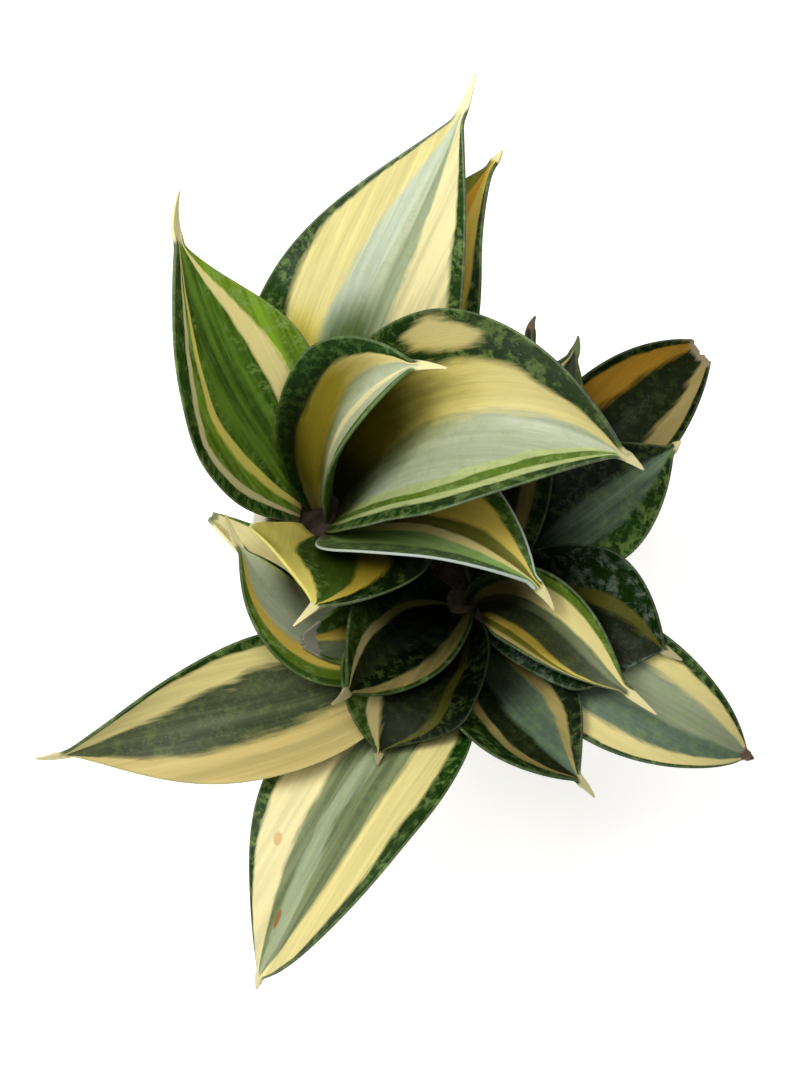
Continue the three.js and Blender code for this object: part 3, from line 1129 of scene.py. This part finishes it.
# arching leaf at the right whose tip was cut off
cutLeaf = {
    "node": "leaf_cut",
    "name": "cutLeaf",
    "foot": (30, -2, 86.5),
    "length": 106,
    "width": 46,
    "widest": 0.51,
    "base": 0.41,
    "turn": (50, 46, 39),
    "lean": (42, 71, 106),
    "roll": (5, -3, -9),
    "cup": (34, 34, 21),
    "cut": 0.93,
    "bands": "deep buff dusk gold deep",
    "bandsLow": (6, 24, 70, 94),
    "bandsMid": (6, 24, 70, 95),
    "bandsHigh": (8, 24, 71, 89),
    "tipStart": 0.80,
    "tipColor": (0.52, 0.44, 0.30),
    "paintedLightLevel": 0.5,
    "gloss": 0.05,
}
makeLeaf(cutLeaf)

# low leaf at the right with a dry brown tip
brownLeaf = {
    "node": "leaf_brown",
    "name": "brownLeaf",
    "foot": (33, -23.5, 86.4),
    "length": 97,
    "width": 42,
    "widest": 0.46,
    "base": 0.39,
    "turn": (-35, -35, -12),
    "lean": (36, 78, 142),
    "roll": (-10, -19, -4),
    "cup": (33, 14, 25),
    "spine": (3, -15, 115),
    "bands": "dark cream blue steel cream dark",
    "bandsLow": (2, 18, 40, 74, 90),
    "bandsMid": (2, 18, 40, 73, 91),
    "bandsHigh": (3, 15, 40, 75, 92),
    "tipStart": 0.845,
    "tipColor": (0.16, 0.075, 0.03),
    "paintedLightLevel": 0.8,
}
makeLeaf(brownLeaf)

# long low leaf to the left
longLeftLeaf = {
    "node": "leaf_long_left",
    "name": "longLeftLeaf",
    "foot": (0.5, -29.5, 87.6),
    "length": 122,
    "width": 49,
    "widest": 0.39,
    "base": 0.28,
    "turn": (-135, -166, -166),
    "lean": (66, 77, 112),
    "roll": (-31, -4, 58),
    "cup": (20, 19, 38),
    "spine": (9, 178, 98),
    "bands": "dark cream slate buff",
    "bandsLow": (8, 17, 62),
    "bandsMid": (6, 23, 70),
    "bandsHigh": (2, 36, 84),
    "streaks": 0.8,
    "paleStreaks": 0.25,
    "paintedLightLevel": 0.9,
}
makeLeaf(longLeftLeaf)

# long low leaf to the front
longDownLeaf = {
    "node": "leaf_long_down",
    "name": "longDownLeaf",
    "foot": (8, -37, 87.5),
    "length": 121,
    "width": 62,
    "widest": 0.47,
    "base": 0.33,
    "turn": (-119, -120, -120),
    "lean": (56, 77, 136),
    "roll": (-13, -31, -35),
    "cup": (5, 16, 17),
    "spine": (4, -95, 121),
    "bands": "dark ivory grey steel grey cream dark",
    "bandsLow": (6, 32, 42, 50, 66, 90),
    "bandsMid": (7, 31, 38, 44, 64, 88),
    "bandsHigh": (2, 30, 37, 58, 66, 97),
    "streaks": 0.8,
    "paleStreaks": 0.25,
    "spots": ((39, 83, 2.5, 2.5, "rust"), (19, 66, 2.5, 1.5, "scar")),
}
makeLeaf(longDownLeaf)
print("leaves ready")


# The pot: radius and height of each ring, up the outside and down the inside.
potForm = {
    "rings": [
        (36.6, 0.0),
        (38.0, 1.2),
        (52.0, 75.0),
        (53.9, 75.3),
        (54.1, 76.4),
        (55.3, 93.6),
        (54.4, 95.0),
        (51.2, 95.0),
        (50.1, 93.9),
        (48.2, 75.0),
        (34.2, 5.0),
    ],
    "sides": 128,
    "rounding": 0.7,
    "glaze": ((0.74, 0.72, 0.66), (0.83, 0.82, 0.78)),
    "ironSpeck": (0.30, 0.20, 0.12),
    "thinGlaze": (0.62, 0.52, 0.38),
    "bareClay": ((0.52, 0.42, 0.30), (0.66, 0.56, 0.43)),
    "rimRange": (0.0942, 0.0951),
    "bareRange": (0.0022, 0.0012),
    "relief": 0.2,
    "reliefDepth": 0.0003,
}


def glazeMaterial():
    made, tree, shader = newMaterial("whiteGlaze")
    spot = node(tree, "ShaderNodeTexCoord").outputs["Object"]
    x, y, z = splitXyz(tree, spot)
    cloud = grain(tree, spot, 45.0, 4.0, 0.6)
    speckle = grain(tree, spot, 1100.0, 2.0, 0.6)
    # the glaze pools a little warmer in clouds and carries small iron specks
    glaze = blendColors(tree, remap(tree, cloud, (0.35, 0.68)), *potForm["glaze"])
    speckShare = remap(tree, speckle, (0.70, 0.76), (0.0, 0.45))
    specked = blendColors(tree, speckShare, glaze, potForm["ironSpeck"])
    # it thins to a buff line on the rim, and the foot stays bare
    rimShare = remap(tree, z, potForm["rimRange"], (0.0, 0.35))
    rimmed = blendColors(tree, rimShare, specked, potForm["thinGlaze"])
    clay = blendColors(tree, cloud, *potForm["bareClay"])
    bare = blendColors(tree, remap(tree, z, potForm["bareRange"]), rimmed, clay)
    wire(tree, bare, shader.inputs["Base Color"])
    wire(tree, remap(tree, cloud, (0.3, 0.7), (0.42, 0.30)), shader.inputs["Roughness"])
    # faint throwing lines run round the pot
    turning = joinXyz(tree, times(tree, x, 3.0), times(tree, y, 3.0), times(tree, z, 300.0))
    height = plus(tree, grain(tree, turning, 1.0, 2.0), times(tree, speckle, 0.3))
    addRelief(tree, shader, height, potForm["relief"], potForm["reliefDepth"])
    return made


clearSelection()
radiusNow, heightNow = potForm["rings"][0]
bpy.ops.mesh.primitive_circle_add(
    vertices=potForm["sides"],
    radius=radiusNow * mm,
    fill_type="NGON",
    location=(0, 0, heightNow * mm),
)
pot = bpy.context.object
pot.name = "plainPot"
bpy.ops.object.mode_set(mode="EDIT")
bpy.ops.mesh.select_mode(type="FACE")
bpy.ops.mesh.select_all(action="SELECT")
for radius, height in potForm["rings"][1:]:
    rise = (0, 0, (height - heightNow) * mm)
    bpy.ops.mesh.extrude_region_move(TRANSFORM_OT_translate={"value": rise})
    scale = radius / radiusNow
    bpy.ops.transform.resize(value=(scale, scale, 1), center_override=(0, 0, height * mm))
    radiusNow, heightNow = radius, height
bpy.ops.mesh.select_all(action="SELECT")
bpy.ops.mesh.remove_doubles(threshold=0.00001)
bpy.ops.mesh.normals_make_consistent(inside=False)
bpy.ops.object.mode_set(mode="OBJECT")
rounding = pot.modifiers.new("rounding", "BEVEL")
rounding.width = potForm["rounding"] * mm
rounding.segments = 3
rounding.limit_method = "ANGLE"
rounding.angle_limit = math.radians(20)
applyModifiers(pot)
bpy.ops.object.shade_smooth_by_angle(angle=math.radians(35))
pot.data.materials.clear()
pot.data.materials.append(glazeMaterial())
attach(pot, "root")
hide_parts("pot")
print("pot ready")


# The potting mix: a dished, lumpy top with crumbs of bark and some perlite.
soilForm = {
    "radius": 48.6,
    "footRadius": 33.5,
    "top": 84.2,
    "bottom": 6.0,
    "dish": 1.2,
    "relief": 0.9,
    "sides": 96,
    "rings": 15,
    "ringStep": 3.0,
    "crumbs": 520,
    "quickCrumbs": 60,
    "perlite": 46,
    "crumbSize": (0.8, 1.7),
    "perliteSize": (0.8, 1.4),
    "spread": 0.965,
}
mixColors = {
    "darkMix": ((0.012, 0.008, 0.005), (0.050, 0.031, 0.018)),
    "barkCrumb": ((0.030, 0.017, 0.009), (0.120, 0.070, 0.035)),
    "perlite": ((0.40, 0.38, 0.34), (0.66, 0.64, 0.60)),
}


def soilMaterial(name, dark, pale):
    made, tree, shader = newMaterial(name)
    spot = node(tree, "ShaderNodeTexCoord").outputs["Object"]
    lumps = grain(tree, spot, 160.0, 5.0, 0.65)
    fibres = grain(tree, spot, 700.0, 4.0, 0.7)
    base = blendColors(tree, remap(tree, lumps, (0.35, 0.66)), dark, pale)
    bright = tuple(min(1, 2.2 * c) for c in pale)
    spotted = blendColors(tree, remap(tree, fibres, (0.6, 0.74), (0.0, 0.6)), base, bright)
    wire(tree, spotted, shader.inputs["Base Color"])
    wire(tree, remap(tree, lumps, (0.3, 0.7), (0.98, 0.8)), shader.inputs["Roughness"])
    addRelief(tree, shader, plus(tree, lumps, times(tree, fibres, 0.4)), 0.9, 0.001)
    return made


def dishDepth(radius):
    return soilForm["dish"] * (1 - (radius / soilForm["radius"]) ** 2)


clearSelection()
bpy.ops.mesh.primitive_circle_add(
    vertices=soilForm["sides"],
    radius=soilForm["radius"] * mm,
    fill_type="NGON",
    location=(0, 0, soilForm["top"] * mm),
)
soil = bpy.context.object
soil.name = "pottingMix"
bpy.ops.object.mode_set(mode="EDIT")
bpy.ops.mesh.select_mode(type="FACE")
bpy.ops.mesh.select_all(action="SELECT")
for ring in range(soilForm["rings"]):
    bpy.ops.mesh.inset(thickness=soilForm["ringStep"] * mm)
bpy.ops.mesh.poke()
bpy.ops.mesh.select_all(action="SELECT")
bpy.ops.mesh.subdivide(number_cuts=1)
mesh = bmesh.from_edit_mesh(soil.data)
for vert in mesh.verts:
    radius = vert.co.xy.length / mm
    shelter = min(1.0, max(0.0, (soilForm["radius"] - radius) / 4))  # the rim stays level
    bumps = noise.noise(vert.co * 190) + 0.6 * noise.noise(vert.co * 520)
    vert.co.z += shelter * (soilForm["relief"] * bumps - dishDepth(radius)) * mm
rim = [edge for edge in mesh.edges if edge.is_boundary]
sunk = bmesh.ops.extrude_edge_only(mesh, edges=rim)
wall = [item for item in sunk["geom"] if isinstance(item, bmesh.types.BMVert)]
for vert in wall:
    vert.co.z = soilForm["bottom"] * mm
    vert.co.xy = vert.co.xy * (soilForm["footRadius"] / soilForm["radius"])
bmesh.ops.contextual_create(mesh, geom=wall)
bmesh.ops.recalc_face_normals(mesh, faces=mesh.faces)
bmesh.update_edit_mesh(soil.data)
bpy.ops.object.mode_set(mode="OBJECT")
bpy.ops.object.shade_smooth()
soil.data.materials.clear()
for name, (dark, pale) in mixColors.items():
    soil.data.materials.append(soilMaterial(name, dark, pale))


def addCrumb(index, white):
    angle = random.uniform(0, 2 * math.pi)
    radius = soilForm["radius"] * math.sqrt(random.random()) * soilForm["spread"]
    size = random.uniform(*soilForm["perliteSize" if white else "crumbSize"])
    height = soilForm["top"] - dishDepth(radius) + 0.1 * size
    spot = Vector((radius * math.cos(angle), radius * math.sin(angle), height))
    bpy.ops.mesh.primitive_ico_sphere_add(subdivisions=1, radius=size * mm, location=spot * mm)
    crumb = bpy.context.object
    crumb.name = "crumb%03d" % index
    turn = random.uniform(0, math.pi)
    stretch = (1, 0.9, 0.8)
    if not white:
        stretch = (random.uniform(0.8, 1.7), random.uniform(0.6, 1.0), random.uniform(0.35, 0.7))
    cosTurn, sinTurn = math.cos(turn), math.sin(turn)
    for vert in crumb.data.vertices:
        x, y, z = [value * factor for value, factor in zip(vert.co, stretch)]
        jitter = 1 + 0.3 * noise.noise(vert.co * 900 + Vector((index, 0, 0)))
        vert.co = Vector((x * cosTurn - y * sinTurn, x * sinTurn + y * cosTurn, z)) * jitter
    for face in crumb.data.polygons:
        face.material_index = 2 if white else 1  # the places of perlite and barkCrumb in mixColors
    return crumb


crumbs = []
for index in range(soilForm["crumbs"]):
    clearSelection()
    crumbs.append(addCrumb(index, index < soilForm["perlite"]))
clearSelection()
for crumb in crumbs:
    for skin in soil.data.materials:
        crumb.data.materials.append(skin)
    crumb.select_set(True)
soil.select_set(True)
bpy.context.view_layer.objects.active = soil
bpy.ops.object.join()
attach(soil, "root")
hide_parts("soil")
print("potting mix ready")


# The crowns, the short fibrous stems, keep their shape and get a skin.
crownLook = {
    "fibres": ((0.06, 0.11, 0.02), (0.30, 0.34, 0.12)),
    "stain": (0.03, 0.05, 0.01),
    "relief": 0.5,
    "reliefDepth": 0.0006,
}


def crownMaterial():
    made, tree, shader = newMaterial("fibrousStem")
    spot = node(tree, "ShaderNodeTexCoord").outputs["Object"]
    x, y, z = splitXyz(tree, spot)
    upright = joinXyz(tree, times(tree, x, 900.0), times(tree, y, 900.0), times(tree, z, 120.0))
    fibres = grain(tree, upright, 1.0, 3.0)
    base = blendColors(tree, remap(tree, fibres, (0.35, 0.65)), *crownLook["fibres"])
    stainShare = remap(tree, grain(tree, spot, 180.0, 3.0), (0.52, 0.68), (0.0, 0.7))
    wire(tree, blendColors(tree, stainShare, base, crownLook["stain"]), shader.inputs["Base Color"])
    wire(tree, remap(tree, fibres, (0.3, 0.7), (0.85, 0.6)), shader.inputs["Roughness"])
    addRelief(tree, shader, fibres, crownLook["relief"], crownLook["reliefDepth"])
    return made


stemSkin = crownMaterial()
for name in ("crown_main", "crown_pup", "crown_right"):
    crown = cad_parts[name]
    crown.data.materials.clear()
    crown.data.materials.append(stemSkin)
print("crowns ready")

# a pale paper floor that glows a little, so that it stays white under the leaves
floorLook = {"size": 4.0, "color": (0.86, 0.86, 0.85, 1), "roughness": 0.9, "glow": 0.58}
clearSelection()
bpy.ops.mesh.primitive_plane_add(size=floorLook["size"], location=(0, 0, 0))
floor = bpy.context.object
floor.name = "studioFloor"
floorSkin, floorTree, floorShader = newMaterial("palePaper")
floorShader.inputs["Base Color"].default_value = floorLook["color"]
floorShader.inputs["Roughness"].default_value = floorLook["roughness"]
floorShader.inputs["Emission Color"].default_value = (1, 1, 1, 1)
floorShader.inputs["Emission Strength"].default_value = floorLook["glow"]
floor.data.materials.append(floorSkin)

print("scene ready")
